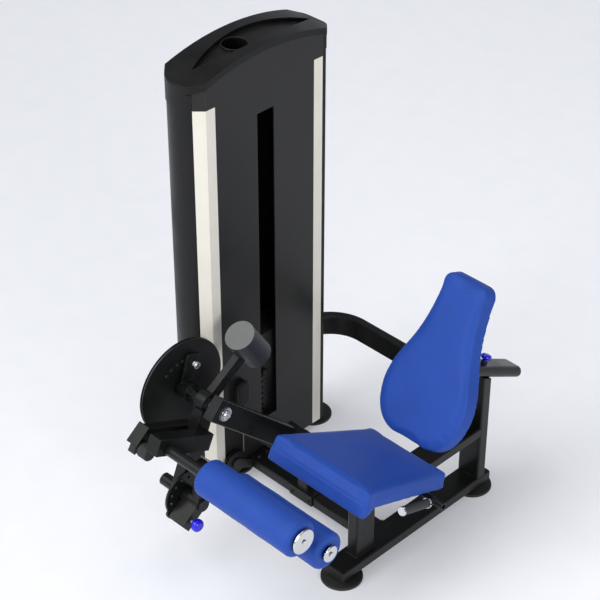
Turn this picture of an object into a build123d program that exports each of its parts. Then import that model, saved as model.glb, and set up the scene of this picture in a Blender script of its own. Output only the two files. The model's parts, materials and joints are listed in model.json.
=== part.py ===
from build123d import *
import os
from math import cos, sin, radians, degrees, atan2, asin, hypot

# Leg extension machine. Millimetres, +Z up. The origin is on the floor under the middle of the
# front foot. +Y runs from the front of the machine to its back, and the weight tower is on the
# -X side. The user sits over the origin and faces -Y.

# ---- driving dimensions ------------------------------------------------------------------
WALL = 3.0                       # steel tube wall
TUBE_CORNER = 7.0                # outer corner radius of the rectangular tubes
GAP = 0.5                        # air between pieces that move past each other
RUNNING = 0.05                   # radial running clearance of a shaft in its bore

# base
FOOT_R = 72.0
FOOT_DISC_H = 9.0
FOOT_H = 24.0
FOOT_NECK_R = 20.0
BASE_W = 92.0                    # flat base tubes
BASE_TOP = 65.0
SKID_Y = (-40.0, 705.0)
REAR_FOOT_Y = 665.0
CROSS_Y = (158.0, 248.0)
TOWER_BASE_X = (-740.0, -650.0)
TOWER_BASE_Y = (0.0, 566.0)
TOWER_FOOT_X = -684.0
TOWER_FEET_Y = (150.0, 551.0)

# seat frame
FRONT_POST_W = 46.0
FRONT_POST_Y = (47.0, 135.0)
REAR_POST_Y = (640.0, 682.0)
RAIL_Z = (255.0, 295.0)
MIDDLE_POST_X = (-374.0, -324.0)
SEAT_CROSS_Y = (160.0, 200.0)
SEAT_CROSS_Z = (231.0, 311.0)

# seat pad: a sloping plane through the front crest
SEAT_TILT = 24.5
SEAT_CREST = (-95.0, 554.2)      # (y, z)
SEAT_LENGTH = 462.0
SEAT_NOSE = 12.0                 # how far the pad goes on in front of its crest
SEAT_HALF_FRONT = 218.0
SEAT_HALF_REAR = 177.0
SEAT_PAD_T = 55.0
SEAT_LIP_T = 90.0
SEAT_LIP_RUN = 44.0               # where the deep front lip has run out into the pad
SEAT_CORNER_R = 22.0
SEAT_EDGE_R = 10.0
BOARD_T = 10.0

# backrest: a plane leaning back, measured along its slope from the foot of the pad
BACK_LEAN = 28.35
BACK_FOOT = (294.0, 416.0)       # (y, z)
BACK_HEIGHT = 590.0
BACK_PAD_T = 55.0
SLEEVE_AT = 270.0                # height of the slide's axis above the foot, along the slope
SLEEVE_SIZE = (94.0, 40.0)
SLEEVE_WALL = 4.0
SLEEVE_RUN = (215.0, 474.0)      # distance behind the pad's front face
SLIDER_END = 440.0
SLIDE_TRAVEL = 100.0
BACK_PIN_AT = 293.5

# handles
HANDLE_AT = (222.0, 322.0)       # (y, z) of the cross tube
HANDLE_TIP = (66.0, 375.0)
HANDLE_X = 200.0
HANDLE_R = 12.5
GRIP_R = 15.5

# pivot and movement arm
PIVOT = (-156.0, 566.0)          # (y, z) of the knee axis, which is parallel to X
SHAFT_R = 20.0
BEAM_X = (-425.0, -387.0)
BEAM_H = 84.0
BEAM_ANGLE = -43.0               # in the YZ plane, from +Y towards +Z
LEVER_X = (-500.0, -460.0)
LEVER_ANGLE = 247.0
LEVER_LENGTH = 328.0
LEVER_W = 60.0
STUB_X = (-460.0, -410.0)
STUB_FROM = (-201.0, 460.0)
STUB_TO = (-427.0, 564.0)
BLOCK_X = (-548.0, -500.0)
COUNTER_ANGLE = 32.9
COUNTER_ARM = 236.0
COUNTER_R = 53.5
COUNTER_LENGTH = 139.0
COUNTER_X = -484.0

# cam and its range-of-motion pin
CAM_X = (-609.0, -597.0)
CAM_R = 176.0
CAM_CABLE_R = 170.0
CAM_HOLES_R = 99.0
CAM_HOLE_R = 6.5
ROM_ANGLE = 71.0
ROM_STEP = 15.0

# roller crank
ROLLER_R = 64.5
ROLLER_X = (-227.0, 191.0)
AXLE_R = 19.0
UPPER_ROLLER = (-385.0, 537.0)
LOWER_ROLLER = (-267.0, 409.0)
CRANK_X = (-440.0, -400.0, -370.0)
CRANK_PIN_THROW = 9.0             # how far the withdrawn pin has to go in
CRANK_DOWN_ANGLE = 216.0
CRANK_DOWN = 98.0
CRANK_SHAFT_R = 22.5
SECTOR_X = (-460.0, -452.0)
SECTOR_R = 86.0
SECTOR_HOLES_R = 65.0
SECTOR_STEP = 28.0

# weight tower
TOWER_X = (-800.0, -620.0)
TOWER_Y = (-20.0, 571.0)         # where the curved ends begin
TOWER_CHAMFER = 30.0
TOWER_BULGE = 19.0
TOWER_MID = (-710.0, 267.0)
SHEET = 3.0
SHELL_BOTTOM = 26.0
TRIM_TOP = 1535.0
TRIM_FRONT_Y = 48.6
TRIM_REAR_Y = (486.0, 526.0)
ARCH_Y = (-53.0, 604.0)          # the arch's ends, just outside the shell
ARCH_SIDE_Z = 1582.0             # underside of the cap at its two ends
ARCH_TOP_Z = 1652.0              # and in the middle
CAP_T = 21.0
CAP_END_Z = 1622.0               # top of the cap where its rounded ends begin
TRAY_DEPTH = 14.0
TRAY_TIPS = ((-705.0, 32.0), (-708.0, 556.0))
TRAY_SIDES = ((-758.0, 245.0), (-656.0, 235.0))
SLOT_Y = (228.0, 303.0)
SLOT_Z = (192.0, 1439.0)
CUP_AT = (-710.0, 220.0)
CUP_R = 42.0
CUP_DEPTH = 56.0
CUP_RIM = 3.0

# weight stack
PLATE = (110.0, 340.0, 24.0)
PLATE_PITCH = 25.0
RESTING = 10
LIFTED = 5
STACK_BOTTOM = 110.0
HEAD_T = 40.0
ROD_R = 10.0
ROD_OFFSET = 130.0
STEM_R = 11.0
PIN_R = 5.0
ROD_TOP = 1560.0

# drive cable
CABLE_R = 2.5
CAM_PLANE_X = (CAM_X[0] + CAM_X[1]) / 2
FRONT_PULLEY = (80.0, 92.0)      # (y, z)
FRONT_PULLEY_CABLE_R = 42.0
CABLE_UP_X = -638.0
TOP_PULLEY_Z = 1465.0

os.makedirs("parts", exist_ok=True)


# ---- helpers -----------------------------------------------------------------------------
def save(piece, name):
    piece.part.label = name
    export_step(piece.part, f"parts/{name}.step")


def along(start, angle, distance):
    """The point at a distance from start, in the YZ plane."""
    return (start[0] + distance * cos(radians(angle)), start[1] + distance * sin(radians(angle)))


def middle(a, b):
    return tuple((p + q) / 2 for p, q in zip(a, b))


def heading(a, b):
    return degrees(atan2(b[1] - a[1], b[0] - a[0]))


def yz(x):
    """The plane at x, with sketch axes Y and Z, facing +X."""
    return Plane.YZ.offset(x)


def box_between(low, high):
    """A plain box, for use inside a part."""
    size = [b - a for a, b in zip(low, high)]
    centre = [(a + b) / 2 for a, b in zip(low, high)]
    with Locations(tuple(centre)):
        Box(*size)


def tube_section(width, height, wall=WALL, corner=TUBE_CORNER):
    """The outline of a rectangular steel tube, for use inside a sketch."""
    RectangleRounded(width, height, corner)
    RectangleRounded(width - 2 * wall, height - 2 * wall, corner - wall, mode=Mode.SUBTRACT)


def bar_between(a, b, width, x_low, x_high, mode=Mode.ADD):
    """A flat bar in the YZ plane from a to b, inside a part."""
    with BuildSketch(yz(x_low)) as bar:
        with Locations(middle(a, b)):
            Rectangle(hypot(b[0] - a[0], b[1] - a[1]), width, rotation=heading(a, b))
    extrude(bar.sketch, amount=x_high - x_low, mode=mode)


def disc_x(centre, radius, x_low, x_high, mode=Mode.ADD):
    """A round disc or shaft along X, inside a part."""
    with BuildSketch(yz(x_low)) as disc:
        with Locations(centre):
            Circle(radius)
    extrude(disc.sketch, amount=x_high - x_low, mode=mode)


def sloped_plane(origin_yz, angle, x=0.0):
    """A plane square to a direction in the YZ plane; its sketch axes are X and the cross slope."""
    direction = (0, cos(radians(angle)), sin(radians(angle)))
    return Plane(origin=(x, origin_yz[0], origin_yz[1]), x_dir=(1, 0, 0), z_dir=direction)


def knob(plane, shank_r, shank_length, head_r=22.5, head_h=26.0, collar=8.0):
    """A mushroom pull knob on its steel pin; the pin's nose is at the plane's origin."""
    base = shank_length + collar
    brim = base + head_h * 0.3
    top = base + head_h
    dome = head_r * 0.48
    with BuildSketch(Plane.XZ) as profile:
        with BuildLine():
            Polyline(
                (0, 0),
                (shank_r - 1.5, 0),
                (shank_r, 2),
                (shank_r, shank_length),
                (shank_r + 5, shank_length),
                (shank_r + 3, base),
                (head_r * 0.86, base + 1),
                (head_r, brim),
            )
            Line((head_r, brim), (head_r, top - dome))
            JernArc((head_r, top - dome), (0, 1), dome, 90)
            Polyline((head_r - dome, top), (0, top), (0, 0))
        make_face()
    turned = revolve(profile.sketch, axis=Axis.Z, mode=Mode.PRIVATE)
    add(plane.location * turned)


def tower_outline(mode=Mode.ADD):
    """The tower's plan outline, for use inside a sketch."""
    x0, x1 = TOWER_X
    y0, y1 = TOWER_Y
    c = TOWER_CHAMFER
    with BuildLine() as outline:
        ThreePointArc((x0 + c, y0), (TOWER_MID[0], y0 - TOWER_BULGE), (x1 - c, y0))
        Line((x1 - c, y0), (x1, y0 + c))
        Line((x1, y0 + c), (x1, y1 - c))
        Line((x1, y1 - c), (x1 - c, y1))
        ThreePointArc((x1 - c, y1), (TOWER_MID[0], y1 + TOWER_BULGE), (x0 + c, y1))
        Line((x0 + c, y1), (x0, y1 - c))
        Line((x0, y1 - c), (x0, y0 + c))
        Line((x0, y0 + c), (x0 + c, y0))
    make_face(outline.edges(), mode=mode)


def shell_slice(z_low, z_high, x_range, y_range):
    """A stretch of the tower's sheet shell between two heights, inside a part."""
    with BuildSketch(Plane.XY.offset(z_low)) as ring:
        tower_outline()
        offset(amount=-SHEET, mode=Mode.SUBTRACT)
        with Locations(middle((x_range[0], y_range[0]), (x_range[1], y_range[1]))):
            Rectangle(x_range[1] - x_range[0], y_range[1] - y_range[0], mode=Mode.INTERSECT)
    extrude(ring.sketch, amount=z_high - z_low)


def arch_line(rise, y_low, y_high):
    """The arch of the tower's top, lifted by rise: its two ends and its crown."""
    mid = (y_low + y_high) / 2
    return (y_low, ARCH_SIDE_Z + rise), (mid, ARCH_TOP_Z + rise), (y_high, ARCH_SIDE_Z + rise)


def cut_above_arch():
    """Trims a tower panel to the underside of the cap, inside a part."""
    left, crown, right = arch_line(0, *ARCH_Y)
    roof = ARCH_TOP_Z + 100
    with BuildSketch(yz(TOWER_X[0] - 5)) as above:
        with BuildLine():
            ThreePointArc(left, crown, right)
            Polyline(right, (right[0], roof), (left[0], roof), left)
        make_face()
    extrude(above.sketch, amount=TOWER_X[1] - TOWER_X[0] + 10, mode=Mode.SUBTRACT)


# ---- base frame --------------------------------------------------------------------------
base_mid_z = (FOOT_H + BASE_TOP) / 2
base_h = BASE_TOP - FOOT_H

with BuildPart() as skid_tube:
    with BuildSketch(Plane(origin=(0, SKID_Y[0], base_mid_z), x_dir=(1, 0, 0), z_dir=(0, 1, 0))):
        tube_section(BASE_W, base_h)
    extrude(amount=SKID_Y[1] - SKID_Y[0])
save(skid_tube, "skid_tube")

cross_mid_y = (CROSS_Y[0] + CROSS_Y[1]) / 2
tower_base_mid_x = (TOWER_BASE_X[0] + TOWER_BASE_X[1]) / 2
with BuildPart() as base_cross_frame:
    with BuildSketch(yz(TOWER_BASE_X[1])):
        with Locations((cross_mid_y, base_mid_z)):
            tube_section(CROSS_Y[1] - CROSS_Y[0], base_h)
    extrude(amount=-BASE_W / 2 - TOWER_BASE_X[1])
    along_tower = Plane(
        origin=(tower_base_mid_x, TOWER_BASE_Y[0], base_mid_z), x_dir=(1, 0, 0), z_dir=(0, 1, 0)
    )
    with BuildSketch(along_tower):
        tube_section(TOWER_BASE_X[1] - TOWER_BASE_X[0], base_h)
    extrude(amount=TOWER_BASE_Y[1] - TOWER_BASE_Y[0])
save(base_cross_frame, "base_cross_frame")

foot_places = [(0, 0), (0, REAR_FOOT_Y)] + [(TOWER_FOOT_X, y) for y in TOWER_FEET_Y]
with BuildPart() as feet:
    with BuildSketch():
        with Locations(*foot_places):
            Circle(FOOT_R)
    extrude(amount=FOOT_DISC_H)
    fillet(feet.edges().group_by(Axis.Z)[-1], 3)
    with BuildSketch(Plane.XY.offset(FOOT_DISC_H)):
        with Locations(*foot_places):
            Circle(FOOT_NECK_R)
    extrude(amount=FOOT_H - FOOT_DISC_H)
save(feet, "feet")

# ---- seat frame --------------------------------------------------------------------------
seat_down = (0, cos(radians(SEAT_TILT)), -sin(radians(SEAT_TILT)))
seat_up = (0, sin(radians(SEAT_TILT)), cos(radians(SEAT_TILT)))


def seat_plane(height):
    """The seat's own plane at a height over the pad's top: sketch x is +X, y runs rearward."""
    origin = (0, SEAT_CREST[0] + height * seat_up[1], SEAT_CREST[1] + height * seat_up[2])
    return Plane(origin=origin, x_dir=(1, 0, 0), z_dir=seat_up)


under_board = -SEAT_PAD_T - BOARD_T
SEAT_PLATE_T = 6.0
post_mid_y = (FRONT_POST_Y[0] + FRONT_POST_Y[1]) / 2
with BuildPart() as front_seat_post:
    with BuildSketch(Plane.XY.offset(BASE_TOP)):
        with Locations((0, post_mid_y)):
            tube_section(FRONT_POST_W, FRONT_POST_Y[1] - FRONT_POST_Y[0])
    extrude(amount=420)
    split(bisect_by=seat_plane(under_board - SEAT_PLATE_T), keep=Keep.BOTTOM)
    post_slope = (post_mid_y - SEAT_CREST[0]) / seat_down[1]
    with BuildSketch(seat_plane(under_board - SEAT_PLATE_T)):
        with Locations((0, post_slope)):
            RectangleRounded(150, 190, 12)
    extrude(amount=SEAT_PLATE_T)
save(front_seat_post, "front_seat_post")

back_axis = (0, cos(radians(BACK_LEAN)), -sin(radians(BACK_LEAN)))      # from the pad to the rear
back_up = (0, sin(radians(BACK_LEAN)), cos(radians(BACK_LEAN)))
slide_start = (
    BACK_FOOT[0] + SLEEVE_AT * back_up[1],
    BACK_FOOT[1] + SLEEVE_AT * back_up[2],
)


def slide_point(distance, lift=0.0):
    """A point on the backrest slide, a distance behind the pad's front face."""
    return (
        slide_start[0] + distance * back_axis[1] + lift * back_up[1],
        slide_start[1] + distance * back_axis[2] + lift * back_up[2],
    )


def slide_plane(distance, lift=0.0):
    """The plane square to the slide at a distance behind the pad's front face."""
    y, z = slide_point(distance, lift)
    return Plane(origin=(0, y, z), x_dir=(1, 0, 0), z_dir=back_axis)


def back_plane(distance):
    """The backrest's own plane, a distance behind its front face: sketch y runs up the slope."""
    y = BACK_FOOT[0] + distance * back_axis[1]
    z = BACK_FOOT[1] + distance * back_axis[2]
    forward = tuple(-v for v in back_axis)
    return Plane(origin=(0, y, z), x_dir=(1, 0, 0), z_dir=forward)


with BuildPart() as rear_post:
    with BuildSketch(Plane.XY.offset(BASE_TOP)):
        with Locations((0, (REAR_POST_Y[0] + REAR_POST_Y[1]) / 2)):
            tube_section(BASE_W, REAR_POST_Y[1] - REAR_POST_Y[0])
    extrude(amount=470)
    under_sleeve = slide_point(0, -SLEEVE_SIZE[1] / 2)
    split(
        bisect_by=Plane(origin=(0, *under_sleeve), x_dir=(1, 0, 0), z_dir=back_up),
        keep=Keep.BOTTOM,
    )
save(rear_post, "rear_post")

with BuildPart() as seat_rail:
    rail_start = Plane(
        origin=(0, FRONT_POST_Y[1], sum(RAIL_Z) / 2), x_dir=(1, 0, 0), z_dir=(0, 1, 0)
    )
    with BuildSketch(rail_start):
        tube_section(BASE_W, RAIL_Z[1] - RAIL_Z[0])
    extrude(amount=REAR_POST_Y[0] - FRONT_POST_Y[1])
save(seat_rail, "seat_rail")

BRACKET_T = 6.0
middle_x = sum(MIDDLE_POST_X) / 2
with BuildPart() as middle_post:
    box_between(
        (middle_x - 54, CROSS_Y[0] - BRACKET_T, BASE_TOP),
        (middle_x + 54, CROSS_Y[0] + 60, BASE_TOP + BRACKET_T),
    )
    box_between(
        (middle_x - 54, CROSS_Y[0] - BRACKET_T, FOOT_H + 4),
        (middle_x + 54, CROSS_Y[0], BASE_TOP + BRACKET_T),
    )
    with BuildSketch(Plane.XY.offset(BASE_TOP + BRACKET_T)):
        with Locations((middle_x, CROSS_Y[0] + 22)):
            tube_section(MIDDLE_POST_X[1] - MIDDLE_POST_X[0], 40)
    extrude(amount=SEAT_CROSS_Z[0] - BASE_TOP - BRACKET_T)
save(middle_post, "middle_post")

with BuildPart() as seat_cross_tube:
    with BuildSketch(yz(BEAM_X[0] - 10)):
        with Locations((sum(SEAT_CROSS_Y) / 2, sum(SEAT_CROSS_Z) / 2)):
            tube_section(SEAT_CROSS_Y[1] - SEAT_CROSS_Y[0], SEAT_CROSS_Z[1] - SEAT_CROSS_Z[0])
    extrude(amount=-BASE_W / 2 - BEAM_X[0] + 10)
save(seat_cross_tube, "seat_cross_tube")

# the beam that carries the knee pivot, with its bearing housing
BEARING_R = 26.0
BEARING_W = 12.0
BEAM_NOSE = 50.0
beam_front = along(PIVOT, BEAM_ANGLE + 180, BEAM_NOSE)
beam_mid_x = sum(BEAM_X) / 2
with BuildPart() as pivot_beam:
    with BuildSketch(sloped_plane(beam_front, BEAM_ANGLE, beam_mid_x)):
        tube_section(BEAM_X[1] - BEAM_X[0], BEAM_H, 4, 6)
    extrude(amount=520)
    split(
        bisect_by=Plane(origin=(0, SEAT_CROSS_Y[0], 0), x_dir=(1, 0, 0), z_dir=(0, 1, 0)),
        keep=Keep.BOTTOM,
    )
    bar_between(beam_front, along(beam_front, BEAM_ANGLE, 5), BEAM_H - 10, BEAM_X[0] + 4, BEAM_X[1] - 4)
    disc_x(PIVOT, BEARING_R + 6, *BEAM_X)
    disc_x(PIVOT, BEARING_R, *BEAM_X, mode=Mode.SUBTRACT)
save(pivot_beam, "pivot_beam")

with BuildPart() as pivot_bearings:
    for x in (BEAM_X[0], BEAM_X[1] - BEARING_W):
        disc_x(PIVOT, BEARING_R, x, x + BEARING_W)
        disc_x(PIVOT, SHAFT_R + RUNNING, x, x + BEARING_W, mode=Mode.SUBTRACT)
save(pivot_bearings, "pivot_bearings")

# the bent tube from the tower's rear upright round to the rear post
BENT_T = 38.0
BENT_H = 80.0
BENT_Z = 402.0
bent_y = (REAR_POST_Y[0] + REAR_POST_Y[1]) / 2 - 2
UPRIGHT_Y = (15.0, 55.0)
rear_upright_y = (479.0, 519.0)
bend_at = (-627.0, bent_y)
BEND_R = 156.0
BENT_RUN = (-0.5696, -0.8221)     # its heading from the bend into the tower
bent_end = (bend_at[0] + 215 * BENT_RUN[0], bend_at[1] + 215 * BENT_RUN[1])
with BuildPart() as rear_bent_tube:
    with BuildLine():
        FilletPolyline(
            (-BASE_W / 2, bent_y, BENT_Z), (*bend_at, BENT_Z), (*bent_end, BENT_Z), radius=BEND_R
        )
    with BuildSketch(Plane(origin=(-BASE_W / 2, bent_y, BENT_Z), x_dir=(0, 1, 0), z_dir=(-1, 0, 0))):
        tube_section(BENT_T, BENT_H)
    sweep()
    split(
        bisect_by=Plane(origin=(0, rear_upright_y[1], 0), x_dir=(1, 0, 0), z_dir=(0, 1, 0)),
        keep=Keep.TOP,
    )
save(rear_bent_tube, "rear_bent_tube")

# ---- seat --------------------------------------------------------------------------------
def seat_outline(inset, start, end, corner):
    """The seat's tapering outline in its own plane, for use inside a sketch."""
    half_front = SEAT_HALF_FRONT - inset
    half_rear = SEAT_HALF_REAR - inset
    with BuildLine() as rim:
        Polyline(
            (-half_front, start), (half_front, start), (half_rear, end), (-half_rear, end), close=True
        )
    seat_face = make_face(rim.edges())
    fillet(seat_face.vertices(), corner)


with BuildPart() as seat_pad:
    with BuildSketch(seat_plane(-SEAT_LIP_T)):
        seat_outline(0, -SEAT_NOSE, SEAT_LENGTH, SEAT_CORNER_R)
    extrude(amount=SEAT_LIP_T)
    top_rim = seat_pad.faces().sort_by(Axis(origin=(0, 0, 0), direction=seat_up))[-1].edges()
    fillet(top_rim, SEAT_EDGE_R)
    with BuildSketch(Plane(origin=(0, *SEAT_CREST), x_dir=seat_down, z_dir=(1, 0, 0))):
        with BuildLine():
            Polyline(
                (SEAT_LIP_RUN, -SEAT_PAD_T), (2 * SEAT_LENGTH, -SEAT_PAD_T),
                (2 * SEAT_LENGTH, -3 * SEAT_LIP_T), (-SEAT_LENGTH, -3 * SEAT_LIP_T),
                (-SEAT_LENGTH, -SEAT_LIP_T), (-SEAT_NOSE + 12, -SEAT_LIP_T), close=True,
            )
        make_face()
    extrude(amount=SEAT_HALF_FRONT + 20, both=True, mode=Mode.SUBTRACT)
save(seat_pad, "seat_pad")

with BuildPart() as seat_board:
    with BuildSketch(seat_plane(under_board)):
        seat_outline(18, 46, SEAT_LENGTH - 18, 26)
    extrude(amount=BOARD_T)
save(seat_board, "seat_board")

# ---- backrest ----------------------------------------------------------------------------
def back_outline(inset):
    """The backrest's outline: narrow foot, wide hips, straight narrow shoulders."""
    top = BACK_HEIGHT - inset
    foot = inset
    with BuildLine() as rim:
        left = Spline(
            (-36 + inset * 0.4, foot),
            (-135 + inset, 28 + inset * 0.7),
            (-181 + inset, 184),
            (-125 + inset, 362),
            (-102 + inset, 480),
            (-97 + inset, top - 36),
        )
        crown_left = ThreePointArc(left @ 1, (-85 + inset, top - 10), (-60 + inset * 0.5, top))
        Line(crown_left @ 1, (60 - inset * 0.5, top))
        mirror(left, about=Plane.YZ)
        mirror(crown_left, about=Plane.YZ)
        Line((-36 + inset * 0.4, foot), (36 - inset * 0.4, foot))
    make_face(rim.edges())


with BuildPart() as backrest_pad:
    with BuildSketch(back_plane(BACK_PAD_T)):
        back_outline(0)
    extrude(amount=BACK_PAD_T)
    fillet(backrest_pad.faces().sort_by(Axis(origin=(0, 0, 0), direction=back_axis))[0].edges(), 14)
save(backrest_pad, "backrest_pad")

with BuildPart() as backrest_board:
    with BuildSketch(back_plane(BACK_PAD_T + BOARD_T)):
        back_outline(14)
    extrude(amount=BOARD_T)
save(backrest_board, "backrest_board")

SLIDER_CLEAR = 0.5
slider_w = SLEEVE_SIZE[0] - 2 * SLEEVE_WALL - 2 * SLIDER_CLEAR
slider_h = SLEEVE_SIZE[1] - 2 * SLEEVE_WALL - 2 * SLIDER_CLEAR
PULL_PIN_R = 5.0
plate_back = BACK_PAD_T + BOARD_T
with BuildPart() as backrest_slider:
    with BuildSketch(slide_plane(plate_back)):
        RectangleRounded(150, 180, 14)
    extrude(amount=6)
    with BuildSketch(slide_plane(plate_back + 6)):
        SlotOverall(slider_w, slider_h)
        SlotOverall(slider_w - 7, slider_h - 7, mode=Mode.SUBTRACT)
    extrude(amount=SLIDER_END - plate_back - 6)
    slot_mid = BACK_PIN_AT + SLIDE_TRAVEL / 2
    slot_y, slot_z = slide_point(slot_mid, 0)
    with BuildSketch(Plane(origin=(0, slot_y, slot_z), x_dir=back_axis, z_dir=back_up)):
        SlotOverall(SLIDE_TRAVEL + 2 * PULL_PIN_R + 4, 2 * PULL_PIN_R + 2)
    extrude(amount=slider_h, mode=Mode.SUBTRACT)
save(backrest_slider, "backrest_slider")

PIN_BOSS_R = 12.0
PIN_BOSS_H = 8.0
pin_y, pin_z = slide_point(BACK_PIN_AT, 0)
back_pin_base = Plane(origin=(0, pin_y, pin_z), x_dir=(1, 0, 0), z_dir=back_up)
with BuildPart() as backrest_sleeve:
    with BuildSketch(slide_plane(SLEEVE_RUN[0])):
        SlotOverall(*SLEEVE_SIZE)
        SlotOverall(
            SLEEVE_SIZE[0] - 2 * SLEEVE_WALL, SLEEVE_SIZE[1] - 2 * SLEEVE_WALL, mode=Mode.SUBTRACT
        )
    extrude(amount=SLEEVE_RUN[1] - SLEEVE_RUN[0])
    with BuildSketch(back_pin_base.offset(SLEEVE_SIZE[1] / 2 - 1)):
        Circle(PIN_BOSS_R)
    extrude(amount=PIN_BOSS_H + 1)
    with BuildSketch(back_pin_base.offset(SLEEVE_SIZE[1] / 2 - SLEEVE_WALL - 1)):
        Circle(PULL_PIN_R + 0.1)
    extrude(amount=PIN_BOSS_H + SLEEVE_WALL + 2, mode=Mode.SUBTRACT)
save(backrest_sleeve, "backrest_sleeve")

with BuildPart() as backrest_pin:
    nose = slider_h / 2 - 3
    reach = SLEEVE_SIZE[1] / 2 + PIN_BOSS_H + GAP - nose
    knob(back_pin_base.offset(nose), PULL_PIN_R, reach, 19, 18, 5)
save(backrest_pin, "backrest_pin")

# ---- handles -----------------------------------------------------------------------------
def grip_plane(distance, side):
    """The plane square to a handle arm at a distance from its tip."""
    angle = heading(HANDLE_TIP, HANDLE_AT)
    return sloped_plane(along(HANDLE_TIP, angle, distance), angle, side * HANDLE_X)


HANDLE_SPAN = 242.0
arm_length = hypot(HANDLE_AT[0] - HANDLE_TIP[0], HANDLE_AT[1] - HANDLE_TIP[1])
with BuildPart() as handle_tube:
    disc_x(HANDLE_AT, HANDLE_R, -HANDLE_SPAN, HANDLE_SPAN)
    for side in (-1, 1):
        with BuildSketch(grip_plane(0, side)):
            Circle(HANDLE_R - 1.5)
        extrude(amount=arm_length)
    box_between(
        (-28, HANDLE_AT[0] - 16, RAIL_Z[1]), (28, HANDLE_AT[0] + 16, HANDLE_AT[1])
    )
    disc_x(HANDLE_AT, HANDLE_R - 3, -HANDLE_SPAN, HANDLE_SPAN, mode=Mode.SUBTRACT)
save(handle_tube, "handle_tube")

GRIP_LENGTH = 122.0
with BuildPart() as handle_grips:
    for side in (-1, 1):
        with BuildSketch(grip_plane(2, side)):
            Circle(GRIP_R)
            Circle(HANDLE_R - 1.5, mode=Mode.SUBTRACT)
        extrude(amount=GRIP_LENGTH)
save(handle_grips, "handle_grips")

with BuildPart() as handle_end_caps:
    for side in (-1, 1):
        with BuildSketch(grip_plane(0, side)):
            Circle(GRIP_R + 1)
        extrude(amount=-5, taper=25)
        with BuildSketch(grip_plane(GRIP_LENGTH + 2, side)):
            Circle(GRIP_R + 2)
            Circle(HANDLE_R - 1.5, mode=Mode.SUBTRACT)
        extrude(amount=7)
save(handle_end_caps, "handle_end_caps")

# ---- movement arm ------------------------------------------------------------------------
crank_pivot = along(PIVOT, LEVER_ANGLE, LEVER_LENGTH)
lever_mid_x = sum(LEVER_X) / 2

with BuildPart() as pivot_shaft:
    disc_x(PIVOT, SHAFT_R, CAM_X[0] - 16, BEAM_X[1] + GAP)
    disc_x(PIVOT, SHAFT_R + 4, BEAM_X[1] + GAP, BEAM_X[1] + 5)
    disc_x(PIVOT, SHAFT_R - 3, BEAM_X[1] + 5, BEAM_X[1] + 14)
    fillet(pivot_shaft.edges().group_by(Axis.X)[-1], 6)
    disc_x(PIVOT, SHAFT_R + 8, CAM_X[0] - 20, CAM_X[0] - 16)
save(pivot_shaft, "pivot_shaft")

block_face = ((-385.0, 577.0), (-445.0, 531.0))
block_angle = heading(*block_face) + 90
block_depth = 55.0
block_back = [along(p, block_angle, block_depth) for p in block_face]
with BuildPart() as main_lever:
    bar_between(PIVOT, crank_pivot, LEVER_W, *LEVER_X)
    disc_x(PIVOT, 38, *LEVER_X)
    disc_x(crank_pivot, 34, *LEVER_X)
    bar_between(STUB_FROM, STUB_TO, 60, *STUB_X)
    bar_between(STUB_FROM, along(STUB_FROM, heading(STUB_FROM, STUB_TO), 205), 46, BLOCK_X[0] + 8, BLOCK_X[1])
    with BuildSketch(yz(BLOCK_X[0])):
        Polygon(block_face[0], block_face[1], block_back[1], block_back[0], align=None)
    extrude(amount=BLOCK_X[1] - BLOCK_X[0])
    fillet(main_lever.edges().filter_by(Axis.X).filter_by_position(Axis.Y, -460, -340), 3)
    disc_x(PIVOT, SHAFT_R, *LEVER_X, mode=Mode.SUBTRACT)
    disc_x(crank_pivot, CRANK_SHAFT_R + RUNNING, *LEVER_X, mode=Mode.SUBTRACT)
    disc_x(UPPER_ROLLER, AXLE_R, *STUB_X, mode=Mode.SUBTRACT)
save(main_lever, "main_lever")

BUFFER_R = 26.0
with BuildPart() as rubber_buffers:
    disc_x((-420, 508), BUFFER_R, BLOCK_X[1], STUB_X[0])
    fillet(rubber_buffers.edges(), 4)
    buffer_at = middle(block_face[1], block_back[1])
    with BuildSketch(sloped_plane(buffer_at, block_angle + 90, sum(BLOCK_X) / 2)):
        Circle(19)
    extrude(amount=-24, taper=12)
save(rubber_buffers, "rubber_buffers")

counter_at = along(PIVOT, COUNTER_ANGLE, COUNTER_ARM)
with BuildPart() as counterweight_arm:
    bar_between(
        along(PIVOT, COUNTER_ANGLE, 20), along(PIVOT, COUNTER_ANGLE, COUNTER_ARM - COUNTER_R + 2),
        40, lever_mid_x - 13.5, lever_mid_x + 13.5,
    )
    disc_x(PIVOT, 38, *LEVER_X, mode=Mode.SUBTRACT)
    bar_between(
        along(PIVOT, LEVER_ANGLE, 0), along(PIVOT, LEVER_ANGLE, 90), LEVER_W, *LEVER_X,
        mode=Mode.SUBTRACT,
    )
    counter_low = along(counter_at, COUNTER_ANGLE + 90, -COUNTER_LENGTH / 2)
    with BuildSketch(sloped_plane(counter_low, COUNTER_ANGLE + 90, COUNTER_X)):
        Circle(COUNTER_R)
    extrude(amount=COUNTER_LENGTH, mode=Mode.SUBTRACT)
save(counterweight_arm, "counterweight_arm")

with BuildPart() as counterweight:
    with BuildSketch(sloped_plane(counter_low, COUNTER_ANGLE + 90, COUNTER_X)):
        Circle(COUNTER_R)
    extrude(amount=COUNTER_LENGTH)
    chamfer(counterweight.edges().filter_by(GeomType.CIRCLE), 1.5)
save(counterweight, "counterweight")

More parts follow.
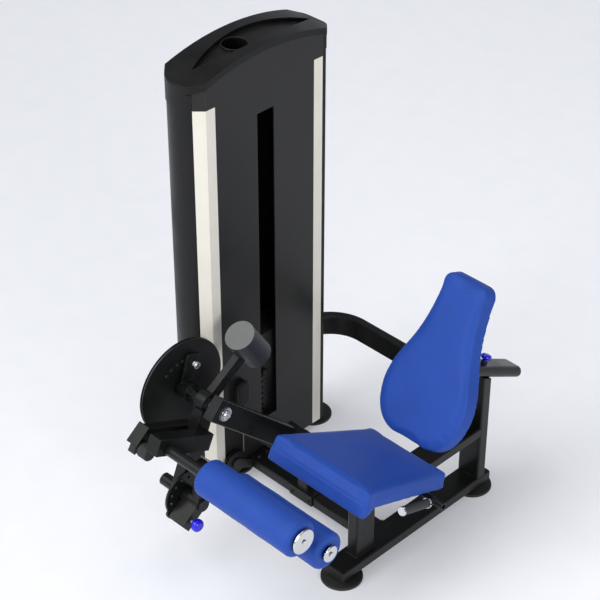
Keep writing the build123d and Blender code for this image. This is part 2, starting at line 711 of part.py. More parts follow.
HUB_X = (-590.0, -545.0)
ROM_PLATE_X = (-588.0, -578.0)
rom_pin_at = along(PIVOT, ROM_ANGLE, CAM_HOLES_R)
ROM_BOSS_X = -566.0
with BuildPart() as rom_plate:
    disc_x(PIVOT, 35, *HUB_X)
    bar_between(PIVOT, along(PIVOT, ROM_ANGLE, 128), 52, *ROM_PLATE_X)
    fillet(rom_plate.edges().filter_by(Axis.X).group_by(Axis.Z)[-1], 12)
    disc_x(rom_pin_at, 14, ROM_PLATE_X[0], ROM_BOSS_X)
    disc_x(rom_pin_at, PULL_PIN_R + 0.1, ROM_PLATE_X[0], ROM_BOSS_X, mode=Mode.SUBTRACT)
    disc_x(PIVOT, SHAFT_R, *HUB_X, mode=Mode.SUBTRACT)
save(rom_plate, "rom_plate")

with BuildPart() as rom_pin:
    rom_reach = ROM_BOSS_X + GAP - CAM_X[0]
    knob(yz(CAM_X[0]).shift_origin((CAM_X[0], *rom_pin_at)), PULL_PIN_R, rom_reach, 13, 12, 5)
save(rom_pin, "rom_pin")

GROOVE_R = CAM_CABLE_R - CABLE_R - 0.6
with BuildPart() as cam_disc:
    disc_x(PIVOT, CAM_R, *CAM_X)
    fillet(cam_disc.edges(), 1)
    with BuildSketch(yz(CAM_PLANE_X - CABLE_R - 1)):
        with Locations(PIVOT):
            Circle(CAM_R + 5)
            Circle(GROOVE_R, mode=Mode.SUBTRACT)
    extrude(amount=2 * CABLE_R + 2, mode=Mode.SUBTRACT)
    disc_x(PIVOT, 32, CAM_X[0] - 13, CAM_X[0])
    for step in range(-1, 5):
        hole_at = along(PIVOT, ROM_ANGLE + step * ROM_STEP, CAM_HOLES_R)
        disc_x(hole_at, CAM_HOLE_R, *CAM_X, mode=Mode.SUBTRACT)
    disc_x(PIVOT, SHAFT_R + RUNNING, CAM_X[0] - 13, CAM_X[1], mode=Mode.SUBTRACT)
save(cam_disc, "cam_disc")

# ---- roller crank ------------------------------------------------------------------------
crank_pin_at = along(crank_pivot, CRANK_DOWN_ANGLE, SECTOR_HOLES_R)
with BuildPart() as sector_plate:
    disc_x(crank_pivot, SECTOR_R, *SECTOR_X)
    sector_tip = along(crank_pivot, CRANK_DOWN_ANGLE, SECTOR_R - 8)
    bar_between(crank_pivot, sector_tip, 44, *SECTOR_X)
    disc_x(sector_tip, 22, *SECTOR_X)
    for step in range(6):
        hole_at = along(crank_pivot, CRANK_DOWN_ANGLE - step * SECTOR_STEP, SECTOR_HOLES_R)
        disc_x(hole_at, PULL_PIN_R + 1, *SECTOR_X, mode=Mode.SUBTRACT)
    disc_x(crank_pivot, CRANK_SHAFT_R + GAP, *SECTOR_X, mode=Mode.SUBTRACT)
    cut_angle = heading(crank_pivot, PIVOT) - 64
    cut_at = along(crank_pivot, cut_angle, SECTOR_R * 0.78)
    bar_between(
        cut_at, along(cut_at, cut_angle, 80), 260, *SECTOR_X, mode=Mode.SUBTRACT
    )
save(sector_plate, "sector_plate")

with BuildPart() as roller_crank:
    disc_x(crank_pivot, CRANK_SHAFT_R, LEVER_X[0] - 60, CRANK_X[2] + 8)
    disc_x(crank_pivot, 30, SECTOR_X[1] + GAP, CRANK_X[2])
    bar_between(
        crank_pivot, along(crank_pivot, CRANK_DOWN_ANGLE, CRANK_DOWN), 44, CRANK_X[0], CRANK_X[2]
    )
    bar_between(crank_pivot, LOWER_ROLLER, 44, CRANK_X[1], CRANK_X[2])
    disc_x(LOWER_ROLLER, 26, CRANK_X[1], CRANK_X[2])
    disc_x(LOWER_ROLLER, AXLE_R, CRANK_X[1], ROLLER_X[1] + 8)
    disc_x(crank_pin_at, PULL_PIN_R + 0.1, CRANK_X[0] - 1, CRANK_X[2] + 1, mode=Mode.SUBTRACT)
    with BuildSketch(yz(CRANK_X[1] - 0.6)):
        with Locations(middle(crank_pivot, along(crank_pivot, CRANK_DOWN_ANGLE, 2 * CRANK_DOWN))):
            Rectangle(72, 50, rotation=CRANK_DOWN_ANGLE)
            Rectangle(72, 42.5, rotation=CRANK_DOWN_ANGLE, mode=Mode.SUBTRACT)
    extrude(amount=1.2, mode=Mode.SUBTRACT)
save(roller_crank, "roller_crank")

with BuildPart() as crank_pin:
    nose_x = SECTOR_X[1] + GAP
    crank_reach = CRANK_X[2] + GAP + CRANK_PIN_THROW - nose_x
    knob(yz(nose_x).shift_origin((nose_x, *crank_pin_at)), PULL_PIN_R, crank_reach)
save(crank_pin, "crank_pin")

with BuildPart() as upper_axle:
    disc_x(UPPER_ROLLER, AXLE_R, STUB_X[0], ROLLER_X[1] + 8)
    disc_x(UPPER_ROLLER, AXLE_R - 4, STUB_X[0], ROLLER_X[1] + 8, mode=Mode.SUBTRACT)
save(upper_axle, "upper_axle")


def foam_roller(centre):
    """A foam roller with rounded ends on its axle, for use inside a part."""
    disc_x(centre, ROLLER_R, *ROLLER_X)
    fillet(edges().filter_by(GeomType.CIRCLE), 14)
    disc_x(centre, AXLE_R + GAP, *ROLLER_X, mode=Mode.SUBTRACT)


def roller_cap(centre, radius):
    """A domed cap with its centre bolt on the end of a roller's axle, inside a part."""
    start = ROLLER_X[1] + 8
    disc_x(centre, radius, start, start + 6)
    fillet(edges().group_by(Axis.X)[-1], 4)
    disc_x(centre, 9, start + 6, start + 11)
    fillet(edges().group_by(Axis.X)[-1], 2)


with BuildPart() as upper_roller:
    foam_roller(UPPER_ROLLER)
save(upper_roller, "upper_roller")

with BuildPart() as lower_roller:
    foam_roller(LOWER_ROLLER)
save(lower_roller, "lower_roller")

with BuildPart() as upper_roller_cap:
    roller_cap(UPPER_ROLLER, 43)
save(upper_roller_cap, "upper_roller_cap")

with BuildPart() as lower_roller_cap:
    roller_cap(LOWER_ROLLER, 29)
save(lower_roller_cap, "lower_roller_cap")

# ---- tower frame and weight stack --------------------------------------------------------
UPRIGHT_W = 60.0
with BuildPart() as tower_frame:
    for y_range in (UPRIGHT_Y, rear_upright_y):
        with BuildSketch(Plane.XY.offset(BASE_TOP)):
            with Locations((TOWER_MID[0], sum(y_range) / 2)):
                tube_section(UPRIGHT_W, y_range[1] - y_range[0])
        extrude(amount=ROD_TOP - BASE_TOP)
    top_start = Plane(
        origin=(TOWER_MID[0], UPRIGHT_Y[0], ROD_TOP + 20), x_dir=(1, 0, 0), z_dir=(0, 1, 0)
    )
    with BuildSketch(top_start):
        tube_section(UPRIGHT_W, 40)
    extrude(amount=rear_upright_y[1] - UPRIGHT_Y[0])
save(tower_frame, "tower_frame")

rod_places = [(TOWER_MID[0], TOWER_MID[1] + side * ROD_OFFSET) for side in (-1, 1)]
with BuildPart() as guide_rods:
    with BuildSketch(Plane.XY.offset(BASE_TOP)):
        with Locations(*rod_places):
            Circle(ROD_R)
    extrude(amount=ROD_TOP - BASE_TOP)
save(guide_rods, "guide_rods")

with BuildPart() as stack_bumpers:
    with BuildSketch(Plane.XY.offset(BASE_TOP)):
        with Locations(*rod_places):
            Circle(27)
            Circle(ROD_R, mode=Mode.SUBTRACT)
    extrude(amount=STACK_BOTTOM - BASE_TOP)
    fillet(stack_bumpers.edges().group_by(Axis.Z)[-1].group_by(SortBy.LENGTH)[-1], 4)
save(stack_bumpers, "stack_bumpers")


def stack_plate(z_low, thickness, pin_hole=True):
    """One weight plate with its rod holes, stem hole and pin hole, inside a part."""
    with BuildSketch(Plane.XY.offset(z_low)) as plate:
        with Locations(TOWER_MID):
            RectangleRounded(PLATE[0], PLATE[1], 8)
            Circle(STEM_R + 2, mode=Mode.SUBTRACT)
        with Locations(*rod_places):
            Circle(ROD_R + 1, mode=Mode.SUBTRACT)
    extrude(plate.sketch, amount=thickness)
    if pin_hole:
        mid = (TOWER_MID[1], z_low + thickness / 2)
        disc_x(mid, PIN_R + 0.5, TOWER_MID[0], TOWER_MID[0] + PLATE[0] / 2 + 1, mode=Mode.SUBTRACT)


with BuildPart() as resting_plates:
    for number in range(RESTING):
        stack_plate(STACK_BOTTOM + number * PLATE_PITCH, PLATE[2])
save(resting_plates, "resting_plates")

lifted_bottom = STACK_BOTTOM + RESTING * PLATE_PITCH
head_bottom = lifted_bottom + LIFTED * PLATE_PITCH
head_top = head_bottom + HEAD_T
with BuildPart() as lifted_plates:
    for number in range(LIFTED):
        stack_plate(lifted_bottom + number * PLATE_PITCH, PLATE[2])
save(lifted_plates, "lifted_plates")

with BuildPart() as head_plate:
    stack_plate(head_bottom, HEAD_T, pin_hole=False)
    with BuildSketch(Plane.XY.offset(head_bottom)):
        with Locations(TOWER_MID):
            Circle(STEM_R + 3)
            Circle(STEM_R, mode=Mode.SUBTRACT)
    extrude(amount=HEAD_T + 12)
save(head_plate, "head_plate")

with BuildPart() as selector_stem:
    with BuildSketch(Plane.XY.offset(STACK_BOTTOM)):
        with Locations(TOWER_MID):
            Circle(STEM_R)
    extrude(amount=head_top + 30 - STACK_BOTTOM)
    for number in range(RESTING + LIFTED):
        mid = (TOWER_MID[1], STACK_BOTTOM + number * PLATE_PITCH + PLATE[2] / 2)
        disc_x(mid, PIN_R + 0.3, TOWER_MID[0] - 20, TOWER_MID[0] + 20, mode=Mode.SUBTRACT)
save(selector_stem, "selector_stem")

pin_z_mid = lifted_bottom + PLATE[2] / 2
pin_nose_x = TOWER_MID[0] - STEM_R + 2
pin_head_x = TOWER_MID[0] + PLATE[0] / 2 + GAP
with BuildPart() as selector_pin:
    knob(
        yz(pin_nose_x).shift_origin((pin_nose_x, TOWER_MID[1], pin_z_mid)),
        PIN_R, pin_head_x - pin_nose_x, 14, 14, 4,
    )
save(selector_pin, "selector_pin")

# ---- pulleys, brackets and cable ---------------------------------------------------------
PULLEY_T = 14.0


def pulley(plane, cable_r, bore_r):
    """A grooved pulley in a plane, for use inside a part."""
    with BuildSketch(plane.offset(-PULLEY_T / 2)) as wheel:
        Circle(cable_r + 5)
        Circle(bore_r, mode=Mode.SUBTRACT)
    extrude(wheel.sketch, amount=PULLEY_T)
    with BuildSketch(plane.offset(-CABLE_R - 1)) as groove:
        Circle(cable_r + 8)
        Circle(cable_r - CABLE_R - 0.6, mode=Mode.SUBTRACT)
    extrude(groove.sketch, amount=2 * CABLE_R + 2, mode=Mode.SUBTRACT)


cable_up_y = FRONT_PULLEY[0] + FRONT_PULLEY_CABLE_R
cable_up = (CABLE_UP_X, cable_up_y)
pulley_span = hypot(TOWER_MID[0] - cable_up[0], TOWER_MID[1] - cable_up[1])
TOP_PULLEY_CABLE_R = pulley_span / 2
top_dir = ((TOWER_MID[0] - cable_up[0]) / pulley_span, (TOWER_MID[1] - cable_up[1]) / pulley_span)
top_pulley_centre = (*middle(cable_up, TOWER_MID), TOP_PULLEY_Z)
top_plane = Plane(
    origin=top_pulley_centre, x_dir=(*top_dir, 0), z_dir=(top_dir[1], -top_dir[0], 0)
)
front_plane = yz(CAM_PLANE_X).shift_origin((CAM_PLANE_X, *FRONT_PULLEY))
PULLEY_AXLE_R = 8.0

with BuildPart() as front_pulley:
    pulley(front_plane, FRONT_PULLEY_CABLE_R, PULLEY_AXLE_R + RUNNING)
save(front_pulley, "front_pulley")

with BuildPart() as top_pulley:
    pulley(top_plane, TOP_PULLEY_CABLE_R, PULLEY_AXLE_R + RUNNING)
save(top_pulley, "top_pulley")

CHEEK_T = 5.0
cheek_gap = PULLEY_T / 2 + 1
with BuildPart() as pulley_brackets:
    for x in (CAM_PLANE_X - cheek_gap - CHEEK_T, CAM_PLANE_X + cheek_gap):
        with BuildSketch(yz(x)):
            with Locations(FRONT_PULLEY):
                Circle(20)
            with BuildLine():
                Polyline(
                    (FRONT_PULLEY[0] - 6, FRONT_PULLEY[1] - 19),
                    (CROSS_Y[0], FOOT_H + 8),
                    (CROSS_Y[0], BASE_TOP - 2),
                    (FRONT_PULLEY[0] + 12, FRONT_PULLEY[1] + 16),
                    close=True,
                )
            make_face()
        extrude(amount=CHEEK_T)
    disc_x(
        FRONT_PULLEY, PULLEY_AXLE_R, CAM_PLANE_X - cheek_gap - CHEEK_T, CAM_PLANE_X + cheek_gap + CHEEK_T
    )
    for offset_from in (-cheek_gap - CHEEK_T, cheek_gap):
        with BuildSketch(top_plane.offset(offset_from)):
            with Locations((0, (ROD_TOP - TOP_PULLEY_Z) / 2)):
                Rectangle(44, ROD_TOP - TOP_PULLEY_Z)
            Circle(22)
        extrude(amount=CHEEK_T)
    with BuildSketch(top_plane.offset(-cheek_gap - CHEEK_T)):
        Circle(PULLEY_AXLE_R)
    extrude(amount=2 * (cheek_gap + CHEEK_T))
save(pulley_brackets, "pulley_brackets")

# the cable leaves the cam at its lower front, goes under the front pulley, rises, steps into
# the tower behind the guide and runs over the top pulley
centre_gap = hypot(FRONT_PULLEY[0] - PIVOT[0], FRONT_PULLEY[1] - PIVOT[1])
tangent_angle = heading(PIVOT, FRONT_PULLEY) - 90 + degrees(
    asin((CAM_CABLE_R - FRONT_PULLEY_CABLE_R) / centre_gap)
)
CABLE_ANCHOR_ANGLE = 100.0
GUIDE_Z = (340.0, 415.0)


def on_cam(angle):
    return (CAM_PLANE_X, *along(PIVOT, angle, CAM_CABLE_R))


def on_front_pulley(angle):
    return (CAM_PLANE_X, *along(FRONT_PULLEY, angle, FRONT_PULLEY_CABLE_R))


leave_angle = tangent_angle % 360
with BuildPart() as drive_cable:
    with BuildLine() as route:
        wrap = ThreePointArc(
            on_cam(CABLE_ANCHOR_ANGLE), on_cam((CABLE_ANCHOR_ANGLE + leave_angle) / 2), on_cam(leave_angle)
        )
        Line(wrap @ 1, on_front_pulley(leave_angle))
        under = ThreePointArc(
            on_front_pulley(leave_angle), on_front_pulley((leave_angle + 360) / 2), on_front_pulley(360)
        )
        step_in = FilletPolyline(
            under @ 1,
            (CAM_PLANE_X, cable_up_y, GUIDE_Z[0] + 20),
            (CABLE_UP_X, cable_up_y, GUIDE_Z[1] + 25),
            (CABLE_UP_X, cable_up_y, TOP_PULLEY_Z),
            radius=60,
        )
        ThreePointArc(
            step_in @ 1,
            (*top_pulley_centre[:2], TOP_PULLEY_Z + TOP_PULLEY_CABLE_R),
            (*TOWER_MID, TOP_PULLEY_Z),
        )
    with BuildSketch(Plane(origin=wrap @ 0, z_dir=wrap % 0)):
        Circle(CABLE_R)
    sweep(path=route.line)
save(drive_cable, "drive_cable")

with BuildPart() as lift_cable:
    with BuildSketch(Plane.XY.offset(head_top + 30)):
        with Locations(TOWER_MID):
            Circle(CABLE_R)
    extrude(amount=TOP_PULLEY_Z - head_top - 30)
save(lift_cable, "lift_cable")

window_y = (cable_up_y - 12, cable_up_y + 12)
window_z = (GUIDE_Z[0] + 20, GUIDE_Z[1] + 20)
with BuildPart() as cable_guide:
    with BuildSketch(yz(TOWER_X[1])):
        with Locations((cable_up_y, sum(GUIDE_Z) / 2)):
            RectangleRounded(56, GUIDE_Z[1] - GUIDE_Z[0] + 30, 27)
    extrude(amount=28)
    fillet(cable_guide.edges().group_by(Axis.X)[-1], 8)
    with BuildSketch(yz(TOWER_X[1])):
        with Locations((cable_up_y, sum(GUIDE_Z) / 2 - 12)):
            Rectangle(16, GUIDE_Z[1] - GUIDE_Z[0] + 50)
    extrude(amount=22, mode=Mode.SUBTRACT)
save(cable_guide, "cable_guide")

# ---- tower shell -------------------------------------------------------------------------
x_inner_right = (TOWER_X[1] - TOWER_CHAMFER, TOWER_X[1] + 1)
x_inner_left = (TOWER_X[0] - 1, TOWER_X[0] + TOWER_CHAMFER)
y_front = TOWER_Y[0] - TOWER_BULGE - 1
y_rear = TOWER_Y[1] + TOWER_BULGE + 1
SHELL_TOP = ARCH_TOP_Z + 10


def side_panel(x_range):
    """A side panel: flat between the trims, and wrapped round both corners above them."""
    shell_slice(SHELL_BOTTOM, TRIM_TOP, x_range, (TRIM_FRONT_Y, TRIM_REAR_Y[0]))
    shell_slice(TRIM_TOP, SHELL_TOP, x_range, (y_front, TRIM_REAR_Y[1]))
    cut_above_arch()


with BuildPart() as side_panel_right:
    side_panel(x_inner_right)
    with BuildSketch(yz(TOWER_X[1] - SHEET - 1)):
        with Locations((sum(SLOT_Y) / 2, sum(SLOT_Z) / 2)):
            Rectangle(SLOT_Y[1] - SLOT_Y[0], SLOT_Z[1] - SLOT_Z[0])
        with Locations((sum(window_y) / 2, sum(window_z) / 2)):
            Rectangle(window_y[1] - window_y[0], window_z[1] - window_z[0])
        with Locations((cross_mid_y, BASE_TOP - 40)):
            Rectangle(CROSS_Y[1] - CROSS_Y[0] + 2, 82)
    extrude(amount=SHEET + 2, mode=Mode.SUBTRACT)
save(side_panel_right, "side_panel_right")

with BuildPart() as side_panel_left:
    side_panel(x_inner_left)
save(side_panel_left, "side_panel_left")

with BuildPart() as trim_strips:
    for x_range in (x_inner_right, x_inner_left):
        shell_slice(SHELL_BOTTOM, TRIM_TOP, x_range, (y_front, TRIM_FRONT_Y))
        shell_slice(SHELL_BOTTOM, TRIM_TOP, x_range, TRIM_REAR_Y)
save(trim_strips, "trim_strips")

with BuildPart() as front_cover:
    shell_slice(
        SHELL_BOTTOM, ARCH_SIDE_Z - 4, (x_inner_left[1], x_inner_right[0]), (y_front, TOWER_Y[0] + 1)
    )
save(front_cover, "front_cover")

with BuildPart() as rear_cover:
    shell_slice(SHELL_BOTTOM, SHELL_TOP, (TOWER_X[0] - 1, TOWER_X[1] + 1), (TRIM_REAR_Y[1], y_rear))
    cut_above_arch()
    window_at = (bend_at[0] + 100 * BENT_RUN[0], bend_at[1] + 100 * BENT_RUN[1], BENT_Z)
    with BuildSketch(
        Plane(
            origin=window_at,
            x_dir=(BENT_RUN[1], -BENT_RUN[0], 0),
            z_dir=(-BENT_RUN[0], -BENT_RUN[1], 0),
        )
    ):
        RectangleRounded(BENT_T + 4, BENT_H + 4, TUBE_CORNER + 2)
    extrude(amount=60, both=True, mode=Mode.SUBTRACT)
save(rear_cover, "rear_cover")

# the cap: an arched lid with rounded ends, curved skirts at front and back, a boat-shaped tray
# and a cup hole
CAP_OVERHANG = 3.0
END_ROUND = 32.0
END_DROP = 34.0
tray_z = ARCH_TOP_Z + CAP_T - TRAY_DEPTH


def cap_line(drop):
    """The arch of the cap's top, lowered by drop: its two ends and its crown."""
    _, crown_at, _ = arch_line(CAP_T - drop, *ARCH_Y)
    low, high = ARCH_Y[0] + END_ROUND, ARCH_Y[1] - END_ROUND
    return (low, CAP_END_Z - drop), crown_at, (high, CAP_END_Z - drop)


with BuildPart() as tray_hollow:
    left, crown, right = cap_line(TRAY_DEPTH)
    roof = ARCH_TOP_Z + 100
    with BuildSketch(yz(TOWER_X[0] - 5)):
        with BuildLine():
            ThreePointArc(left, crown, right)
            Polyline(right, (right[0], roof), (left[0], roof), left)
        make_face()
    extrude(amount=TOWER_X[1] - TOWER_X[0] + 10)
    with BuildSketch(Plane.XY.offset(TRIM_TOP)):
        with BuildLine():
            ThreePointArc(TRAY_TIPS[0], TRAY_SIDES[0], TRAY_TIPS[1])
            ThreePointArc(TRAY_TIPS[1], TRAY_SIDES[1], TRAY_TIPS[0])
        make_face()
    extrude(amount=300, mode=Mode.INTERSECT)

with BuildPart() as top_cap:
    left, crown, right = cap_line(0)
    low_left, low_crown, low_right = arch_line(0, *ARCH_Y)
    with BuildSketch(yz(TOWER_X[0] - CAP_OVERHANG)):
        with BuildLine():
            ThreePointArc(left, crown, right)
            ThreePointArc(
                right, (right[0] + 22, right[1] - 10), (right[0] + END_ROUND, right[1] - END_DROP + 12)
            )
            Line((right[0] + END_ROUND, right[1] - END_DROP + 12), low_right)
            ThreePointArc(low_right, low_crown, low_left)
            Line(low_left, (left[0] - END_ROUND, left[1] - END_DROP + 12))
            ThreePointArc(
                (left[0] - END_ROUND, left[1] - END_DROP + 12), (left[0] - 22, left[1] - 10), left
            )
        make_face()
    extrude(amount=TOWER_X[1] - TOWER_X[0] + 2 * CAP_OVERHANG)
    with BuildSketch(Plane.XY.offset(TRIM_TOP)):
        tower_outline()
        offset(amount=CAP_OVERHANG)
    extrude(amount=200, mode=Mode.INTERSECT)
    for y_range in ((y_front - 10, TOWER_Y[0] + 2), (TOWER_Y[1] - 2, y_rear + 10)):
        with BuildSketch(Plane.XY.offset(TRIM_TOP)):
            tower_outline()
            offset(amount=CAP_OVERHANG)
            tower_outline(mode=Mode.SUBTRACT)
            with Locations((TOWER_MID[0], sum(y_range) / 2)):
                Rectangle(
                    TOWER_X[1] - TOWER_X[0] - 2 * TOWER_CHAMFER, y_range[1] - y_range[0],
                    mode=Mode.INTERSECT,
                )
        extrude(amount=ARCH_SIDE_Z - TRIM_TOP + 8)
    add(tray_hollow.part, mode=Mode.SUBTRACT)
    with BuildSketch(Plane.XY.offset(TRIM_TOP)):
        with Locations(CUP_AT):
            Circle(CUP_R + 2)
    extrude(amount=200, mode=Mode.SUBTRACT)
save(top_cap, "top_cap")

with BuildPart() as cup_liner:
    with BuildSketch(Plane.XY.offset(tray_z - CUP_DEPTH)):
        with Locations(CUP_AT):
            Circle(CUP_R + 2)
    extrude(amount=CUP_DEPTH + 1)
    with BuildSketch(Plane.XY.offset(tray_z)):
        with Locations(CUP_AT):
            Circle(CUP_R + CUP_RIM)
    extrude(amount=1)
    with BuildSketch(Plane.XY.offset(tray_z - CUP_DEPTH + 3)):
        with Locations(CUP_AT):
            Circle(CUP_R)
    extrude(amount=CUP_DEPTH, mode=Mode.SUBTRACT)
save(cup_liner, "cup_liner")

# ---- fasteners and plugs -----------------------------------------------------------------
def bolt_head(plane, radius=8.0, height=5.0):
    """A domed bolt head standing on a plane, inside a part."""
    with BuildSketch(plane) as head:
        Circle(radius)
    extrude(head.sketch, amount=height, taper=20)


with BuildPart() as frame_bolts:
    for x in (middle_x - 40, middle_x + 40):
        bolt_head(
            Plane(origin=(x, CROSS_Y[0] - BRACKET_T, base_mid_z), x_dir=(1, 0, 0), z_dir=(0, -1, 0)), 6
        )
    for y in (CROSS_Y[0] + 25, CROSS_Y[1] - 25):
        bolt_head(Plane(origin=(-590, y, BASE_TOP), z_dir=(0, 0, 1)), 9, 6)
    for z in (RAIL_Z[0] + 12, RAIL_Z[1] - 12):
        bolt_head(Plane(origin=(0, FRONT_POST_Y[0], z), x_dir=(1, 0, 0), z_dir=(0, -1, 0)))
    for x in (-26, 26):
        bolt_head(Plane(origin=(x, REAR_POST_Y[1], BENT_Z), x_dir=(1, 0, 0), z_dir=(0, 1, 0)))
save(frame_bolts, "frame_bolts")


def plug(plane, width, height, wall=WALL):
    """A moulded plug in the end of a rectangular tube, inside a part."""
    with BuildSketch(plane) as cover:
        RectangleRounded(width, height, TUBE_CORNER)
    extrude(cover.sketch, amount=3)
    with BuildSketch(plane) as stopper:
        RectangleRounded(width - 2 * wall, height - 2 * wall, TUBE_CORNER - wall)
    extrude(stopper.sketch, amount=-12)


with BuildPart() as tube_end_plugs:
    for y, facing in ((SKID_Y[0], -1), (SKID_Y[1], 1)):
        plug(
            Plane(origin=(0, y, base_mid_z), x_dir=(1, 0, 0), z_dir=(0, facing, 0)), BASE_W, base_h
        )
    plug(
        Plane(
            origin=(BEAM_X[0] - 10, sum(SEAT_CROSS_Y) / 2, sum(SEAT_CROSS_Z) / 2),
            x_dir=(0, 1, 0), z_dir=(-1, 0, 0),
        ),
        SEAT_CROSS_Y[1] - SEAT_CROSS_Y[0], SEAT_CROSS_Z[1] - SEAT_CROSS_Z[0],
    )
save(tube_end_plugs, "tube_end_plugs")

print("cable tangent angle", round(leave_angle, 1), "top pulley cable radius", round(TOP_PULLEY_CABLE_R, 1))
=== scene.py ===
"""Leg extension machine: finishes, upholstery, welds and small fittings over the CAD frame, in metres."""

import json
import math

import bmesh
import bpy
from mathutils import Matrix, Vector, noise

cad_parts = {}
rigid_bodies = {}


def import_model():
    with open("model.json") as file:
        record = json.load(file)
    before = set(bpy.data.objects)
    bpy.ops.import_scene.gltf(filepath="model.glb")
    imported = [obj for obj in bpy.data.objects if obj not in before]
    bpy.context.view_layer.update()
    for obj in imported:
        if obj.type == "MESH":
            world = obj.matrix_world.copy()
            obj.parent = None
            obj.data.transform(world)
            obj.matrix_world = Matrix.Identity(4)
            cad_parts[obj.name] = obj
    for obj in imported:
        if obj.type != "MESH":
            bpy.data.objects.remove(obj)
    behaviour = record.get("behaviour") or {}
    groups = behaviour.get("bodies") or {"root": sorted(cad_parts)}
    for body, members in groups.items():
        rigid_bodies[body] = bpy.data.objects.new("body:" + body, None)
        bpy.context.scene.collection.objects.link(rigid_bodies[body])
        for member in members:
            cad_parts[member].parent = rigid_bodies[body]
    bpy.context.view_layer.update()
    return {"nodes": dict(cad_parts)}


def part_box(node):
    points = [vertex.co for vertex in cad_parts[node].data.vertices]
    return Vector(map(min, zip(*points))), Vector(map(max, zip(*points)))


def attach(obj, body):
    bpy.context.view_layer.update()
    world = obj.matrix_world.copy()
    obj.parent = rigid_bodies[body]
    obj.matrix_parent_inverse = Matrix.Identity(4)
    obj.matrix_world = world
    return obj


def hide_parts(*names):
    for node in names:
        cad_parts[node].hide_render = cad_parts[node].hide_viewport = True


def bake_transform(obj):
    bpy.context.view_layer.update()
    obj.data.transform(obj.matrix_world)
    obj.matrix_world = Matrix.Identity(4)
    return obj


for leftover in list(bpy.data.objects):
    bpy.data.objects.remove(leftover)
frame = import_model()
scene = bpy.context.scene
MM = 0.001


# ---------------------------------------------------------------- node materials
def put(tree, kind, inputs=None, **props):
    """A shader node with its settings and its inputs, which are numbers or other nodes' sockets."""
    node = tree.nodes.new("ShaderNode" + kind)
    for key, value in props.items():
        setattr(node, key, value)
    for key, value in (inputs or {}).items():
        if isinstance(value, bpy.types.NodeSocket):
            tree.links.new(value, node.inputs[key])
        else:
            node.inputs[key].default_value = value
    return node


def scaled(colour, by):
    return (*[min(1.0, c * by) for c in colour[:3]], 1.0)


def ramp(tree, fac, low, high, start=0.3, end=0.7):
    node = put(tree, "ValToRGB", {"Fac": fac})
    node.color_ramp.elements[0].position, node.color_ramp.elements[0].color = start, low
    node.color_ramp.elements[1].position, node.color_ramp.elements[1].color = end, high
    return node.outputs["Color"]


def blend_colour(tree, fac, a, b):
    node = put(tree, "Mix", {0: fac, 6: a, 7: b}, data_type="RGBA")
    return node.outputs[2]


def maths(tree, operation, a, b=0.0):
    return put(tree, "Math", {0: a, 1: b}, operation=operation).outputs[0]


def vectors(tree, operation, a, b):
    return put(tree, "VectorMath", {0: a, 1: b}, operation=operation)


def painted_edge_highlight(tree, radius):
    """(rounded normal, 0 on a flat face to about 1 on a corner): where a lighter painted highlight goes on
    corners.
    """
    rounded = put(tree, "Bevel", {"Radius": radius}, samples=4).outputs[0]
    true = put(tree, "NewGeometry").outputs["Normal"]
    facing = vectors(tree, "DOT_PRODUCT", rounded, true).outputs["Value"]
    return rounded, put(
        tree, "MapRange", {"Value": facing, "From Min": 0.995, "From Max": 0.80}
    ).outputs[0]


def finish(
    name,
    colour,
    roughness,
    metallic=0.0,
    coat=0.0,
    specular=0.5,
    grain=(900.0, 0.15, 0.3),
    stretch=(1.0, 1.0, 1.0),
    mottling=0.15,
    edge=None,
    edge_radius=1.5,
    shine_change=0.08,
    extra=None,
    spare=None,
):
    """A painted, moulded or metal surface. grain is (scale, bump strength, bump depth in mm); extra gives a
    second height; spare is (mask, colour) laid over everything."""
    material = bpy.data.materials.new(name)
    material.use_nodes = True
    tree = material.node_tree
    shader = tree.nodes["Principled BSDF"]
    shader.inputs["Metallic"].default_value = metallic
    shader.inputs["Coat Weight"].default_value = coat
    shader.inputs["Specular IOR Level"].default_value = specular
    coords = put(tree, "TexCoord").outputs["Object"]
    placed = put(tree, "Mapping", {"Vector": coords, "Scale": stretch}).outputs[0]
    fine = put(tree, "TexNoise", {"Vector": placed, "Scale": grain[0], "Detail": 3.0})
    broad = put(tree, "TexNoise", {"Vector": placed, "Scale": 9.0, "Detail": 6.0})
    tone = ramp(
        tree, broad.outputs["Fac"], scaled(colour, 1 - mottling), scaled(colour, 1 + mottling)
    )
    height = fine.outputs["Fac"]
    if extra:
        height = maths(tree, "ADD", height, extra(tree, coords))
    bump = {"Height": height, "Strength": grain[1], "Distance": grain[2] * MM}
    # edge is a lighter colour laid on corners as a painted highlight, made patchy by the broad noise
    if edge:
        rounded, edge_highlight_mask = painted_edge_highlight(tree, edge_radius * MM)
        patchy_edge_highlight = maths(tree, "MULTIPLY", edge_highlight_mask, broad.outputs["Fac"])
        tone = blend_colour(tree, patchy_edge_highlight, tone, (*edge, 1.0))
        bump["Normal"] = rounded
    if spare:
        tone = blend_colour(tree, spare[0](tree, coords), tone, (*spare[1], 1.0))
    tree.links.new(tone, shader.inputs["Base Color"])
    shine = put(
        tree,
        "MapRange",
        {
            "Value": broad.outputs["Fac"],
            "From Min": 0.3,
            "From Max": 0.7,
            "To Min": max(0.02, roughness - shine_change),
            "To Max": roughness + shine_change,
        },
    )
    tree.links.new(shine.outputs[0], shader.inputs["Roughness"])
    tree.links.new(put(tree, "Bump", bump).outputs[0], shader.inputs["Normal"])
    return material


def leather_grain(scale):
    def height(tree, coords):
        cells = put(
            tree, "TexVoronoi", {"Vector": coords, "Scale": scale}, feature="DISTANCE_TO_EDGE"
        )
        return maths(tree, "MINIMUM", maths(tree, "MULTIPLY", cells.outputs["Distance"], 4.0), 0.8)

    return height


